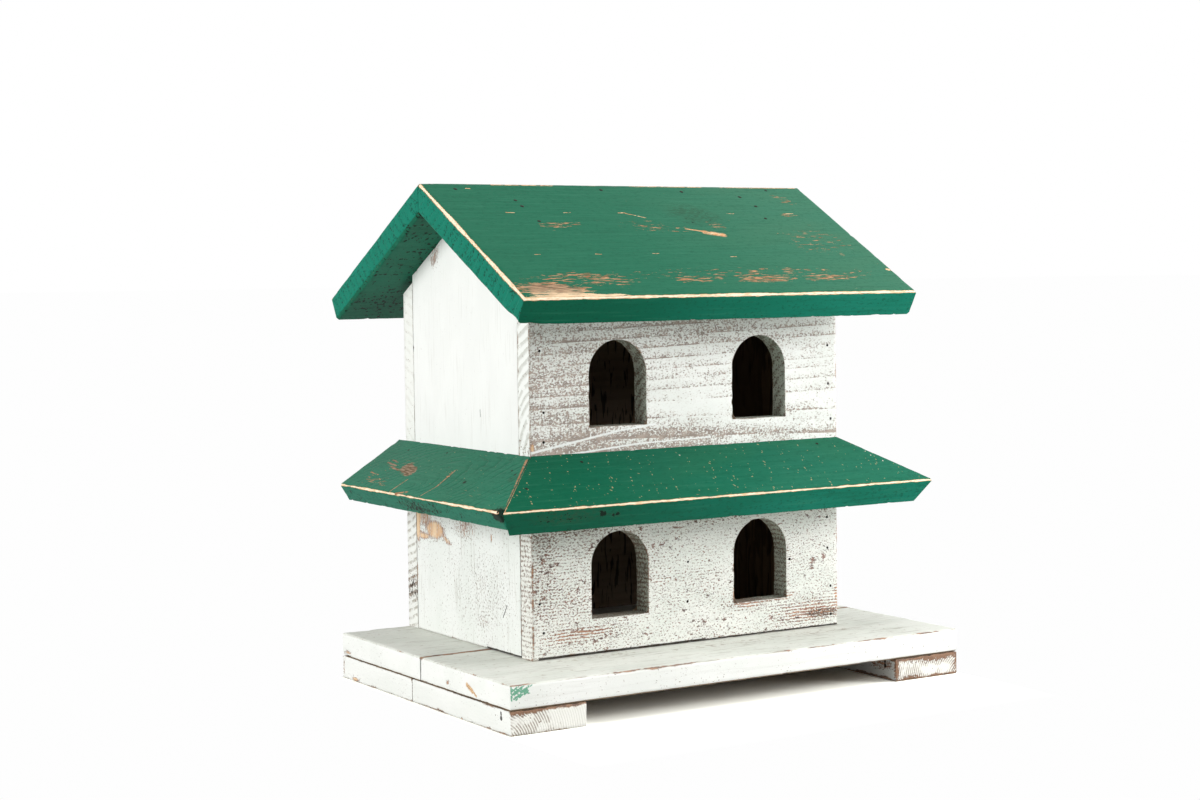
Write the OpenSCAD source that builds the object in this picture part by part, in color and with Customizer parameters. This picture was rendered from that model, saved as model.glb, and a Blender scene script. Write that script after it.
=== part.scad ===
// Two-storey birdhouse for purple martins, its walls made of planed boards 19 mm thick. The
// roof, the front skirt and the base are thicker boards.
// Two base planks lie on cross runners. Each storey is a box of four walls with two arched
// entrances in front, and a floor board parts them. A sloping skirt covers that floor board
// on the front and both ends. Two boards, mitred at the ridge, make the roof.
// X runs along the front, Y to the back, Z up. The origin is the middle of the footprint
// of the whole thing, on the ground.

/* [House] */
// Length of the house along its front
house_len = 320; // [280:1:400]
// Depth of the house, front wall to back wall
house_dep = 228; // [190:1:280]
// Thickness of the wall and floor boards
board_t = 19; // [12:0.5:24]
// Clear height of the lower storey
storey_h = 143; // [130:1:200]
// Height of the slot that the back wall leaves open under the roof
back_slot = 6.5; // [0:0.5:12]

/* [Base] */
// Length of the two base planks
base_len = 459; // [430:1:560]
// How far the base stands out in front of the house as a landing ledge
ledge = 79; // [20:1:140]
// Thickness of a base plank
plank_t = 20.8; // [12:0.1:24]
// Gap between the two base planks
plank_gap = 0.8; // [0.2:0.1:2]
// Height of the runners
runner_h = 20; // [15:0.5:60]
// Width of a runner
runner_w = 70; // [40:1:100]
// How far behind the plank joint each runner is spliced
splice_back = 16; // [0:1:40]
// How far the house stands to the right of the middle of the base
house_shift = -2.6; // [-5:0.1:5]

/* [Entrances] */
// Width of an entrance
hole_w = 57; // [45:0.5:70]
// Height of an entrance to the top of its arch
hole_h = 72.6; // [65:0.5:90]
// Distance between the middles of the two entrances of a storey
hole_pitch = 147; // [120:1:170]
// Height of the sill above the floor
sill_h = 30.2; // [20:0.5:45]

/* [Skirt] */
// How far the skirt reaches out from the walls
skirt_reach = 61; // [30:1:68]
// Slope of the skirt
skirt_slope = 31.8; // [20:0.1:45]
// Thickness of the front skirt board
skirt_front_t = 23.5; // [12:0.5:26]
// Thickness of the skirt boards at the ends
skirt_side_t = 17.5; // [10:0.5:22]
// Height of the skirt's top edge above the upper floor
skirt_rise = 9; // [4:0.5:14]
// How far the end skirt boards run on past the back wall
skirt_tail = 12; // [0:1:40]

/* [Roof] */
// Thickness of the roof boards
roof_t = 24; // [16:0.5:30]
// Slope of the roof
roof_slope = 28.7; // [20:0.1:40]
// Horizontal reach of each roof board from the ridge
roof_run = 179.5; // [165:0.5:220]
// Height of the ridge above the ground
ridge_z = 441.1; // [425:0.1:520]
// Overhang of the roof at the left end
roof_left = 41.2; // [20:0.1:60]
// Overhang of the roof at the right end, at the eaves
roof_right = 39.3; // [20:0.1:60]
// How much further the right end reaches at the ridge than at the eaves
roof_flare = 5.7; // [0:0.1:10]

/* [Sanded edges] */
// Width taken off the eaves and gable edges of the roof
roof_ease = 2.2; // [0.5:0.1:4]
// Width taken off the outer edges of the skirt
skirt_ease = 1.8; // [0.5:0.1:4]
// Width taken off the outer corners of the walls
wall_ease = 0.7; // [0.3:0.1:2]
// Width taken off the edges of the base
base_ease = 1.2; // [0.5:0.1:3]

/* [Hidden] */

white = "whitesmoke";
green = "seagreen";
$fn = 64;

half_len = house_len / 2;
half_dep = house_dep / 2;

// The footprint runs from the front of the base to the back eaves, whose edge is eased.
eaves_reach = roof_run - roof_ease * sin(roof_slope);
house_y = (ledge + half_dep - eaves_reach) / 2;
base_front = house_y - half_dep - ledge;
base_dep = ledge + house_dep;
plank_w = (base_dep - plank_gap) / 2;
plank_joint = base_front + base_dep / 2;
runner_splice = plank_joint + splice_back;

lower_z = runner_h + plank_t;
floor_z = lower_z + storey_h;
upper_z = floor_z + board_t;
skirt_z = upper_z + skirt_rise;

// The underside of the roof, straight below the ridge
soffit_z = ridge_z - roof_t / cos(roof_slope);
roof_len = roof_run / cos(roof_slope);
ridge_flat = 0.7;
far = 2 * (base_len + ridge_z);

// Height of the roof's underside at a distance from the ridge
function soffit(d) = soffit_z - d * tan(roof_slope);

// Long edge bar that takes a narrow bevel off the corner it lies on.
// It starts at the origin and runs along X.
module edge_bar(length, ease) {
    rotate([45, 0, 0])
        translate([length / 2, 0, 0])
            cube([length, ease * sqrt(2), ease * sqrt(2)], center = true);
}

// A box with its four long top and bottom edges along X, and its top edges along Y, eased.
module eased_plank(size, ease) {
    difference() {
        cube(size);
        for (y = [0, size.y], z = [0, size.z])
            translate([-1, y, z]) edge_bar(size.x + 2, ease);
        for (x = [0, size.x], z = [0, size.z])
            translate([x, -1, z]) rotate([0, 0, 90]) edge_bar(size.y + 2, ease);
    }
}

// Runner block under one end of the base. side is -1 at the left and 1 at the right.
module runner(side, y_from, y_to) {
    x_from = side < 0 ? -base_len / 2 : base_len / 2 - runner_w;
    color(white)
        translate([x_from, y_from, 0])
            eased_plank([runner_w, y_to - y_from, runner_h], base_ease / 2);
}

module runner_left_front() { runner(-1, base_front, runner_splice - plank_gap / 2); }
module runner_left_back() { runner(-1, runner_splice + plank_gap / 2, base_front + base_dep); }
module runner_right_front() { runner(1, base_front, runner_splice - plank_gap / 2); }
module runner_right_back() { runner(1, runner_splice + plank_gap / 2, base_front + base_dep); }

// Base plank along X, from a given front edge
module base_plank(y_from) {
    color(white)
        translate([-base_len / 2, y_from, runner_h])
            eased_plank([base_len, plank_w, plank_t], base_ease);
}

module base_plank_front() { base_plank(base_front); }
module base_plank_back() { base_plank(base_front + plank_w + plank_gap); }

// Moves its children from the house's own middle to their place on the base
module on_base() {
    translate([house_shift, house_y, 0]) children();
}

// Entrance outline standing on the sill: straight jambs under a round arch
module entrance_outline() {
    translate([-hole_w / 2, 0]) square([hole_w, hole_h - hole_w / 2]);
    translate([0, hole_h - hole_w / 2]) circle(d = hole_w);
}

// The two entrances of a storey, cut through the front wall
module entrances(floor_height) {
    for (side = [-1, 1])
        translate([side * hole_pitch / 2, -half_dep + board_t + 1, floor_height + sill_h])
            rotate([90, 0, 0]) linear_extrude(board_t + 2) entrance_outline();
}

// Bevels on the two upright outer corners and the bottom edge of a long wall.
// side is -1 on the front wall and 1 on the back wall.
module long_wall_edges(side, z_from, z_to) {
    for (end = [-1, 1])
        translate([end * half_len, side * half_dep, z_from - 1])
            rotate([0, -90, 0]) edge_bar(z_to - z_from + 2, wall_ease);
    translate([-half_len - 1, side * half_dep, z_from]) edge_bar(house_len + 2, wall_ease);
}

// Long wall of the lower storey
module long_wall_lower(side) {
    y_from = side < 0 ? -half_dep : half_dep - board_t;
    difference() {
        translate([-half_len, y_from, lower_z]) cube([house_len, board_t, storey_h]);
        long_wall_edges(side, lower_z, floor_z);
    }
}

// Long wall of the upper storey, its top planed to the roof's slope.
// The front one meets the roof, the back one stops short of it.
module long_wall_upper(side) {
    slot = side < 0 ? 0 : back_slot;
    inner = half_dep - board_t;
    outline = [[inner, upper_z], [half_dep, upper_z],
               [half_dep, soffit(half_dep) - slot], [inner, soffit(inner) - slot]];
    difference() {
        mirror([0, side < 0 ? 1 : 0, 0])
            rotate([90, 0, 90]) translate([0, 0, -half_len])
                linear_extrude(house_len) polygon(outline);
        long_wall_edges(side, upper_z, soffit(half_dep));
    }
}

module front_wall_lower() {
    color(white) on_base() difference() { long_wall_lower(-1); entrances(lower_z); }
}

module back_wall_lower() { color(white) on_base() long_wall_lower(1); }

module front_wall_upper() {
    color(white) on_base() difference() { long_wall_upper(-1); entrances(upper_z); }
}

module back_wall_upper() { color(white) on_base() long_wall_upper(1); }

// End wall, fitted between the long walls, from an outline of [y, z] points.
// Its outer upright edges are eased, which leaves a fine groove beside the long walls.
module end_wall(side, outline, z_from) {
    x_from = side < 0 ? -half_len : half_len - board_t;
    inner = half_dep - board_t;
    difference() {
        translate([x_from, 0, 0]) rotate([90, 0, 90]) linear_extrude(board_t) polygon(outline);
        for (end = [-1, 1])
            translate([side * half_len, end * inner, z_from - 1])
                rotate([0, -90, 0]) edge_bar(soffit_z, wall_ease / 2);
        translate([side * half_len, -half_dep, z_from])
            rotate([0, 0, 90]) edge_bar(house_dep, wall_ease);
    }
}

module end_wall_lower(side) {
    inner = half_dep - board_t;
    end_wall(side, [[-inner, lower_z], [inner, lower_z], [inner, floor_z], [-inner, floor_z]], lower_z);
}

// Gable end, rising to the ridge
module end_wall_upper(side) {
    inner = half_dep - board_t;
    end_wall(side, [[-inner, upper_z], [inner, upper_z], [inner, soffit(inner)],
                    [0, soffit_z], [-inner, soffit(inner)]], upper_z);
}

module left_wall_lower() { color(white) on_base() end_wall_lower(-1); }
module right_wall_lower() { color(white) on_base() end_wall_lower(1); }
module left_wall_upper() { color(white) on_base() end_wall_upper(-1); }
module right_wall_upper() { color(white) on_base() end_wall_upper(1); }

// Floor board between the storeys; its edges show only at the back
module upper_floor() {
    color(white) on_base()
        translate([-half_len, -half_dep, floor_z]) cube([house_len, house_dep, board_t]);
}

// Sloping skirt board. Its top edge lies on the X axis and it falls towards +Y.
// plan is its outline seen from above; the cuts that the plan makes are plumb.
module skirt_board(plan, thickness) {
    slope_len = skirt_reach / cos(skirt_slope);
    difference() {
        intersection() {
            rotate([-skirt_slope, 0, 0]) translate([-far / 2, 0, -thickness])
                cube([far, slope_len, thickness]);
            translate([0, 0, -far / 2]) linear_extrude(far) polygon(plan);
        }
        rotate([-skirt_slope, 0, 0]) translate([-far / 2, slope_len, 0]) edge_bar(far, skirt_ease);
    }
}

// Edge bar down a mitred hip of the skirt. heading is its direction seen from above.
module hip_bar(heading) {
    drop = skirt_reach * tan(skirt_slope);
    run = skirt_reach * sqrt(2);
    rotate([0, atan2(drop, run), heading]) translate([-2, 0, 0])
        edge_bar(norm([drop, run]) + 4, wall_ease);
}

module skirt_front() {
    plan = [[-half_len, 0], [half_len, 0],
            [half_len + skirt_reach, skirt_reach], [-half_len - skirt_reach, skirt_reach]];
    color(green) on_base() translate([0, -half_dep, skirt_z]) mirror([0, 1, 0])
        difference() {
            skirt_board(plan, skirt_front_t);
            translate([half_len, 0, 0]) hip_bar(45);
            translate([-half_len, 0, 0]) hip_bar(135);
        }
}

// End skirt board, falling towards +Y: mitred to the front board at x = 0 and cut square
// at its tail, behind the back wall
module skirt_end_board() {
    tail_x = house_dep + skirt_tail;
    plan = [[0, 0], [tail_x, 0], [tail_x, skirt_reach], [-skirt_reach, skirt_reach]];
    difference() {
        skirt_board(plan, skirt_side_t);
        hip_bar(135);
    }
}

// The left board's front tip is broken out at its outer edge.
module skirt_left() {
    break_x = 9 - skirt_reach;
    break_r = 3.2;
    color(green) on_base() translate([-half_len, -half_dep, skirt_z]) rotate([0, 0, 90])
        difference() {
            skirt_end_board();
            translate([break_x, skirt_reach, -skirt_reach * tan(skirt_slope)]) sphere(r = break_r);
        }
}

module skirt_right() {
    color(green) on_base() translate([half_len, -half_dep, skirt_z]) rotate([0, 0, 90])
        mirror([0, 1, 0]) skirt_end_board();
}

// Roof board falling towards +Y from the ridge line, which lies on the X axis.
// It is mitred plumb at the ridge and cut square at the eaves.
module roof_board() {
    x_left = -half_len - roof_left;
    x_right = half_len + roof_right;
    difference() {
        rotate([-roof_slope, 0, 0]) difference() {
            translate([0, 0, -roof_t]) linear_extrude(roof_t)
                polygon([[x_left, 0], [x_right + roof_flare, 0], [x_right, roof_len], [x_left, roof_len]]);
            for (z = [0, -roof_t]) {
                translate([x_left, -1, z]) rotate([0, 0, 90]) edge_bar(roof_len + 2, roof_ease);
                translate([x_right, roof_len, z]) rotate([0, 0, atan2(-roof_len, roof_flare)])
                    translate([-1, 0, 0]) edge_bar(roof_len + 2, roof_ease);
            }
            translate([-far / 2, roof_len, 0]) edge_bar(far, roof_ease);
        }
        translate([-far / 2, -far, -far / 2]) cube([far, far, far]);
        translate([-far / 2, -far / 2, -ridge_flat]) cube([far, far, far]);
    }
}

module roof_back() { color(green) on_base() translate([0, 0, ridge_z]) roof_board(); }

module roof_front() {
    color(green) on_base() translate([0, 0, ridge_z]) mirror([0, 1, 0]) roof_board();
}

runner_left_front();
runner_left_back();
runner_right_front();
runner_right_back();
base_plank_front();
base_plank_back();
front_wall_lower();
back_wall_lower();
left_wall_lower();
right_wall_lower();
upper_floor();
front_wall_upper();
back_wall_upper();
left_wall_upper();
right_wall_upper();
skirt_front();
skirt_left();
skirt_right();
roof_front();
roof_back();
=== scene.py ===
"""Looks of a two-storey painted birdhouse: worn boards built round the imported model, nails,
paint, a plain stage, soft lamps and the camera. A place on a board is given in millimetres: u
along the grain and v across it, both from the frame's origin, except that v starts at the upper
edge of a sloping board, and then a depth below the main face."""

import itertools
import math

import bmesh
import bpy
import numpy as np
from mathutils import Matrix, Vector


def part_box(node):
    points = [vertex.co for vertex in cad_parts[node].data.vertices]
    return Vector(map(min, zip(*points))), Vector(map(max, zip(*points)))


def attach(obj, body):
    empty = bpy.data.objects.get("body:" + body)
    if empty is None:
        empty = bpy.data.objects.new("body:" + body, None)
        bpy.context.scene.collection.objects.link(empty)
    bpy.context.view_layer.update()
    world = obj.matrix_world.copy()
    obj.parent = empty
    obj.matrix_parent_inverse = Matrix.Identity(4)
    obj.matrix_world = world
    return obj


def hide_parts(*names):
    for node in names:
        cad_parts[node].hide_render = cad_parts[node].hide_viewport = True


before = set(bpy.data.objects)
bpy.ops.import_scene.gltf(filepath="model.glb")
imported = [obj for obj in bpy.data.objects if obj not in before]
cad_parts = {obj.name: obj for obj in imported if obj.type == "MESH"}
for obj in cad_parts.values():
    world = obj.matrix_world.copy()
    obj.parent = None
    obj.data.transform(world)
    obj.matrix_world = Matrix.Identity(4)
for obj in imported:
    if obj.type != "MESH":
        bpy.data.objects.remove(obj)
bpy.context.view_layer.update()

MM = 0.001
X, Y, Z = Vector((1, 0, 0)), Vector((0, 1, 0)), Vector((0, 0, 1))


# ---- numbers


def srgb(code):
    """Linear colour of a six-digit sRGB code"""
    parts = [int(code[i : i + 2], 16) / 255 for i in (0, 2, 4)]
    return tuple(c / 12.92 if c <= 0.04045 else ((c + 0.055) / 1.055) ** 2.4 for c in parts) + (1,)


def lattice(cells, seed):
    """A repeatable number from 0 to 1 for each whole-numbered point, by integer hashing"""
    low_bits = np.uint64(0xFFFFFFFF)
    h = np.full(len(cells), seed * 2654435761 % 2**32, np.uint64)
    for k, factor in enumerate((73856093, 19349663, 83492791)):
        h ^= cells[:, k].astype(np.uint64) * np.uint64(factor)
    for shift, factor in ((15, 2246822519), (13, 3266489917)):
        h = (h & low_bits) ^ ((h & low_bits) >> np.uint64(shift))
        h = h * np.uint64(factor) & low_bits
    return (h ^ (h >> np.uint64(16))) / 2.0**32


def value_noise(points, size, seed):
    """Smooth noise from -1 to 1 whose lumps are size across"""
    p = points / np.asarray(size, float)
    cells = np.floor(p).astype(np.int64)
    f = p - cells
    f = f * f * (3 - 2 * f)
    total = np.zeros(len(p))
    for corner in itertools.product((0, 1), repeat=3):
        corner = np.array(corner)
        total += np.prod(np.where(corner, f, 1 - f), axis=1) * lattice(cells + corner, seed)
    return 2 * total - 1


def ramp(values, low, high):
    t = np.clip((values - low) / (high - low), 0, 1)
    return t * t * (3 - 2 * t)


def segment_distance(points, start, end):
    """Millimetres from each point to the line from start to end, all given in metres"""
    start, run = np.array(start), np.array(end) - np.array(start)
    t = np.clip((points - start) @ run / max(run @ run, 1e-9), 0, 1)
    return np.linalg.norm(points - start - t[:, None] * run, axis=1) / MM


# ---- shader toolkit


class Nodes:
    """A node tree filled by short calls. A socket, a plain value or a colour code can feed any input."""

    def __init__(self, tree):
        self.tree = tree
        tree.nodes.clear()

    def put(self, socket, value):
        if isinstance(value, bpy.types.NodeSocket):
            self.tree.links.new(value, socket)
        elif value is not None:
            socket.default_value = srgb(value) if isinstance(value, str) else value

    def node(self, kind, *values, **settings):
        """Adds a node and feeds its inputs in their order"""
        made = self.tree.nodes.new("ShaderNode" + kind)
        for key, value in settings.items():
            setattr(made, key, value)
        for socket, value in zip(made.inputs, values):
            self.put(socket, value)
        return made

    def named(self, kind, values):
        """Adds a node and feeds its inputs by name"""
        made = self.node(kind)
        for key, value in values.items():
            self.put(made.inputs[key], value)
        return made

    def math(self, operation, *terms):
        return self.node("Math", *terms, operation=operation).outputs[0]

    def fold(self, operation, terms):
        total = terms[0]
        for term in terms[1:]:
            total = self.math(operation, total, term)
        return total

    def add(self, *terms):
        """Sum of terms, each on its own or in a pair with its weight"""
        return self.fold("ADD", [self.times(*term) if isinstance(term, tuple) else term for term in terms])

    def times(self, *terms):
        return self.fold("MULTIPLY", terms)

    def most(self, *terms):
        return self.fold("MAXIMUM", terms)

    def vector(self, operation, *terms):
        made = self.node("VectorMath", *terms, operation=operation)
        return made.outputs["Value" if operation in ("DOT_PRODUCT", "LENGTH") else "Vector"]

    def smooth(self, value, low, high):
        return self.node("MapRange", value, low, high, 0, 1, interpolation_type="SMOOTHSTEP").outputs[0]

    def mix(self, factor, first, second):
        """Colour mix; the colour sockets of a mix node are its inputs 6 and 7 and its output 2"""
        made = self.node("Mix", data_type="RGBA")
        for index, value in ((0, factor), (6, first), (7, second)):
            self.put(made.inputs[index], value)
        return made.outputs[2]


def segment_group():
    """Node group: 1 within Width of the line from Start along Run, 0 outside"""
    tree = bpy.data.node_groups.new("line_mark", "ShaderNodeTree")
    for name, kind in (("Point", "Vector"), ("Start", "Vector"), ("Run", "Vector"), ("Width", "Float")):
        tree.interface.new_socket(name, in_out="INPUT", socket_type="NodeSocket" + kind)
    tree.interface.new_socket("Mark", in_out="OUTPUT", socket_type="NodeSocketFloat")
    s = Nodes(tree)
    point, start, run, width = tree.nodes.new("NodeGroupInput").outputs[:4]
    offset = s.vector("SUBTRACT", point, start)
    share = s.math("DIVIDE", s.vector("DOT_PRODUCT", offset, run), s.vector("DOT_PRODUCT", run, run))
    share = s.math("MINIMUM", s.math("MAXIMUM", share, 0), 1)
    nearest = s.vector("SCALE", run, None, None, share)
    gap = s.vector("LENGTH", s.vector("SUBTRACT", offset, nearest))
    mark = s.smooth(gap, s.times(width, 1.15), s.times(width, 0.45))
    s.put(tree.nodes.new("NodeGroupOutput").inputs["Mark"], mark)
    return tree


LINE_MARK = segment_group()


class Shader(Nodes):
    """The material of a board. board, wood, ring, bare, worn and dirt are attributes of its mesh,
    colour is what the coats so far add up to and gone is 1 where wear has taken the paint."""

    def __init__(self, name):
        self.material = bpy.data.materials.new(name)
        self.material.use_nodes = True
        super().__init__(self.material.node_tree)
        self.colour, self.gone = None, None
        self.board = self.node("SeparateXYZ", self.attribute("board", "Vector")).outputs
        self.wood = self.attribute("wood", "Vector")
        self.ring, self.bare, self.worn, self.dirt = (
            self.attribute(key, "Fac") for key in ("ring", "bare", "worn", "dirt")
        )

    def attribute(self, name, output):
        return self.node("Attribute", attribute_name=name, attribute_type="GEOMETRY").outputs[output]

    def coat(self, mask, tone, share=1):
        """Lays a tone over the colour so far where the mask is 1, thinned by share"""
        self.colour = self.mix(mask if share == 1 else self.times(mask, share), self.colour, tone)

    def strip(self, mask, tone, share=1):
        """A coat where the paint is gone"""
        self.coat(mask, tone, share)
        self.gone = self.most(self.gone, mask)

    def noise(self, size, detail=2, rough=0.5, twist=0, shift=0):
        """Noise on the wood's own coordinates, from 0 to 1, whose lumps are size across"""
        size = size if isinstance(size, tuple) else (size,) * 3
        place = self.vector("MULTIPLY", self.wood, tuple(1 / s for s in size))
        if shift:
            place = self.vector("ADD", place, (shift, shift * 0.7, shift * 1.3))
        values = dict(Vector=place, Scale=1, Detail=detail, Roughness=rough, Distortion=twist)
        return self.named("TexNoise", values).outputs["Fac"]

    def swing(self, size, reach, **settings):
        """Noise about zero, reach from end to end"""
        return self.times(self.math("SUBTRACT", self.noise(size, **settings), 0.5), reach)

    def spots(self, size, low, high, **settings):
        """Noise made crisp: 0 where it is under low and 1 where it is over high"""
        return self.smooth(self.noise(size, **settings), low, high)

    def marks(self, lines, ragged=0.8, plane=(0, 1)):
        """Mask of listed lines (start, end, half width), such as scratches, smears and painted shade
        lines, in u and v, or in the two board axes given as plane"""
        shake = (self.swing((2.4, 1, 1), ragged), self.swing((3.2, 1, 1), ragged, shift=9), 0)
        flat = (self.board[plane[0]], self.board[plane[1]], 0)
        place = self.vector("ADD", *(self.node("CombineXYZ", *parts).outputs[0] for parts in (flat, shake)))
        found = []
        for u0, v0, u1, v1, width in lines:
            values = (place, (u0, v0, 0), (u1 - u0, v1 - v0, 0), width)
            found.append(self.node("Group", *values, node_tree=LINE_MARK).outputs[0])
        return self.most(*found)

    def timber(self, wander=1.3):
        """The wood's fibres, its late wood and how far through its ring each place is"""
        fibre = self.noise((16, 0.9, 0.9), detail=3, rough=0.6)
        drift = self.times(self.math("SUBTRACT", fibre, 0.5), 0.12 * wander)
        part = self.math("FRACT", self.add(self.ring, self.swing((110, 12, 12), wander), drift))
        return fibre, self.times(self.smooth(part, 0.3, 0.93), self.smooth(part, 1, 0.95)), part

    def wood_tone(self, fibre, late, light, dark, contrast):
        share = self.times(self.math("SUBTRACT", fibre, 0.5), 0.9)
        return self.mix(self.add((late, contrast), share), light, dark)

    def finish(self, rough, height, specular, depth=0.3):
        """Principled surface with a bump of the given depth in millimetres"""
        bump = self.named("Bump", dict(Strength=1, Distance=depth * MM, Height=height))
        values = {"Base Color": self.colour, "Roughness": rough, "Specular IOR Level": specular}
        surface = self.named("BsdfPrincipled", values | {"Normal": bump.outputs[0]})
        self.node("OutputMaterial", surface.outputs[0])
        return self.material


# ---- paints


def green_paint(name, paint, shade, level=0.74, lines=(), lines_tone=("F4CDA4", "D99A6C"), patches=(),
                dots=None, pits=0.8, pit=3, cathedral=0, mottled=0.3, fade=None, cream=None):
    """Green paint worn through to bare wood: strips along the sanded arrises, flecks along the
    grain, listed scratches, rows of dots left by the saw (their pitch, lean and amount), and
    pits of size pit. patches are wide strokes worn through in streaks, fade is painted shade that
    darkens the paint towards low u, where less light falls, and cream whitens bare wood across v."""
    s = Shader(name + "_paint")
    fibre, _, part = s.timber()
    s.colour = s.mix(s.spots((95, 40, 40), 0.35, 0.65, detail=3), paint, shade)
    # painted shade: fade darkens the paint towards low u, standing for the weaker light there
    if fade:
        start, end, dark = fade
        s.colour = s.mix(s.smooth(s.board[0], start, end), dark, s.colour)
    streak = s.noise((55, 3, 3), detail=3, shift=3)
    s.coat(s.smooth(streak, 0.52, 0.72), "3C8165", 0.2)
    s.coat(s.smooth(streak, 0.47, 0.28), "0A5039", 0.3)
    mottle = s.noise((4, 2, 2), detail=3, rough=0.65, shift=5)
    s.coat(s.smooth(mottle, 0.53, 0.68), "0B4333", mottled)
    s.coat(s.times(s.smooth(s.dirt, 0.05, 0.4), s.smooth(mottle, 0.4, 0.55)), "2C4E38", 0.5)
    height = s.add((fibre, 0.3), (streak, 0.35), (mottle, 0.35))
    if cathedral:
        line = s.times(s.smooth(part, 0.55, 0.9), s.smooth(part, 1, 0.95), s.spots(30, 0.4, 0.6))
        s.coat(line, "0D4936", cathedral)
        height = s.add(height, (line, -0.8))
    spot = s.add(s.noise(pit, rough=0.6, shift=5), s.swing(23, 0.3, shift=2), (s.dirt, 0.36))
    hole = s.smooth(spot, pits, pits + 0.04)
    s.coat(hole, "06160F", 0.92)
    height = s.add(height, (hole, -1.2))

    chips = s.noise((13, 2, 2), detail=4, rough=0.66)
    chips = s.add(chips, (s.worn, 0.5), s.swing((60, 18, 18), 0.2))
    s.gone = s.smooth(chips, level, level + 0.025)
    fine = s.spots((9, 1.4, 1.4), 0.4, 0.6, detail=3, shift=6)
    brown, rubbed = s.mix(fine, "9E6E4E", "D2A07A"), s.mix(fine, "806852", "B59678")
    brown = s.mix(s.smooth(s.worn, 0.5, 0.64), brown, rubbed)
    if cream:
        across = s.add(s.board[1], s.swing((12, 3, 3), 14))
        brown = s.mix(s.smooth(across, *cream), brown, "F3D6B0")
    s.coat(s.smooth(chips, level - 0.04, level), "5E5A3E", 0.4)
    s.coat(s.gone, brown)
    if dots:
        pitch, lean, amount = dots
        bend = s.swing((60, 30, 30), 14, shift=1)
        wave = s.math("FRACT", s.times(s.add(s.board[0], (s.board[1], lean), bend), 1 / pitch))
        row = s.smooth(s.math("ABSOLUTE", s.math("SUBTRACT", wave, 0.5)), 0.12, 0.03)
        dot = s.add(s.noise((1.6, 2.2, 1.6), detail=0, shift=7), (row, amount))
        s.strip(s.smooth(s.add(dot, s.swing(40, 0.12)), 0.82, 0.87), "CDB486", 0.6)
    if patches:
        streaky = s.swing((15, 1.6, 1.6), 2.2, detail=3, rough=0.6, shift=4)
        tone = s.mix(s.spots((9, 1.4, 1.4), 0.4, 0.6, detail=3, shift=2), "6B5643", "A28A74")
        s.strip(s.smooth(s.add(s.marks(patches), streaky), 0.5, 0.62), tone, 0.92)
    edge = s.add(s.bare, s.add(s.swing((7, 1.6, 1.6), 1.9), s.swing(17, 1.5)))
    s.coat(s.smooth(edge, -0.6, -0.25), "86603E", 0.7)
    s.coat(s.smooth(edge, -0.3, -0.08), "C48F66")
    pale = s.mix(s.spots((7, 1.6, 1.6), 0.45, 0.68, detail=3), "F8E7CC", "E2C096")
    s.coat(s.smooth(edge, -0.12, 0.12), pale)
    s.gone = s.most(s.gone, s.smooth(edge, -0.3, 0))
    if lines:
        scratch = s.times(s.marks(lines), s.spots((5, 1.4, 1.4), 0.36, 0.44, detail=3, shift=1))
        s.strip(scratch, s.mix(s.spots((4, 1.5, 1.5), 0.4, 0.6, shift=8), *lines_tone))
    rough = s.add((s.gone, 0.26), (mottle, 0.16), 0.4)
    return s.finish(rough, s.add(height, (s.gone, -0.4)), specular=0.07)


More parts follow.
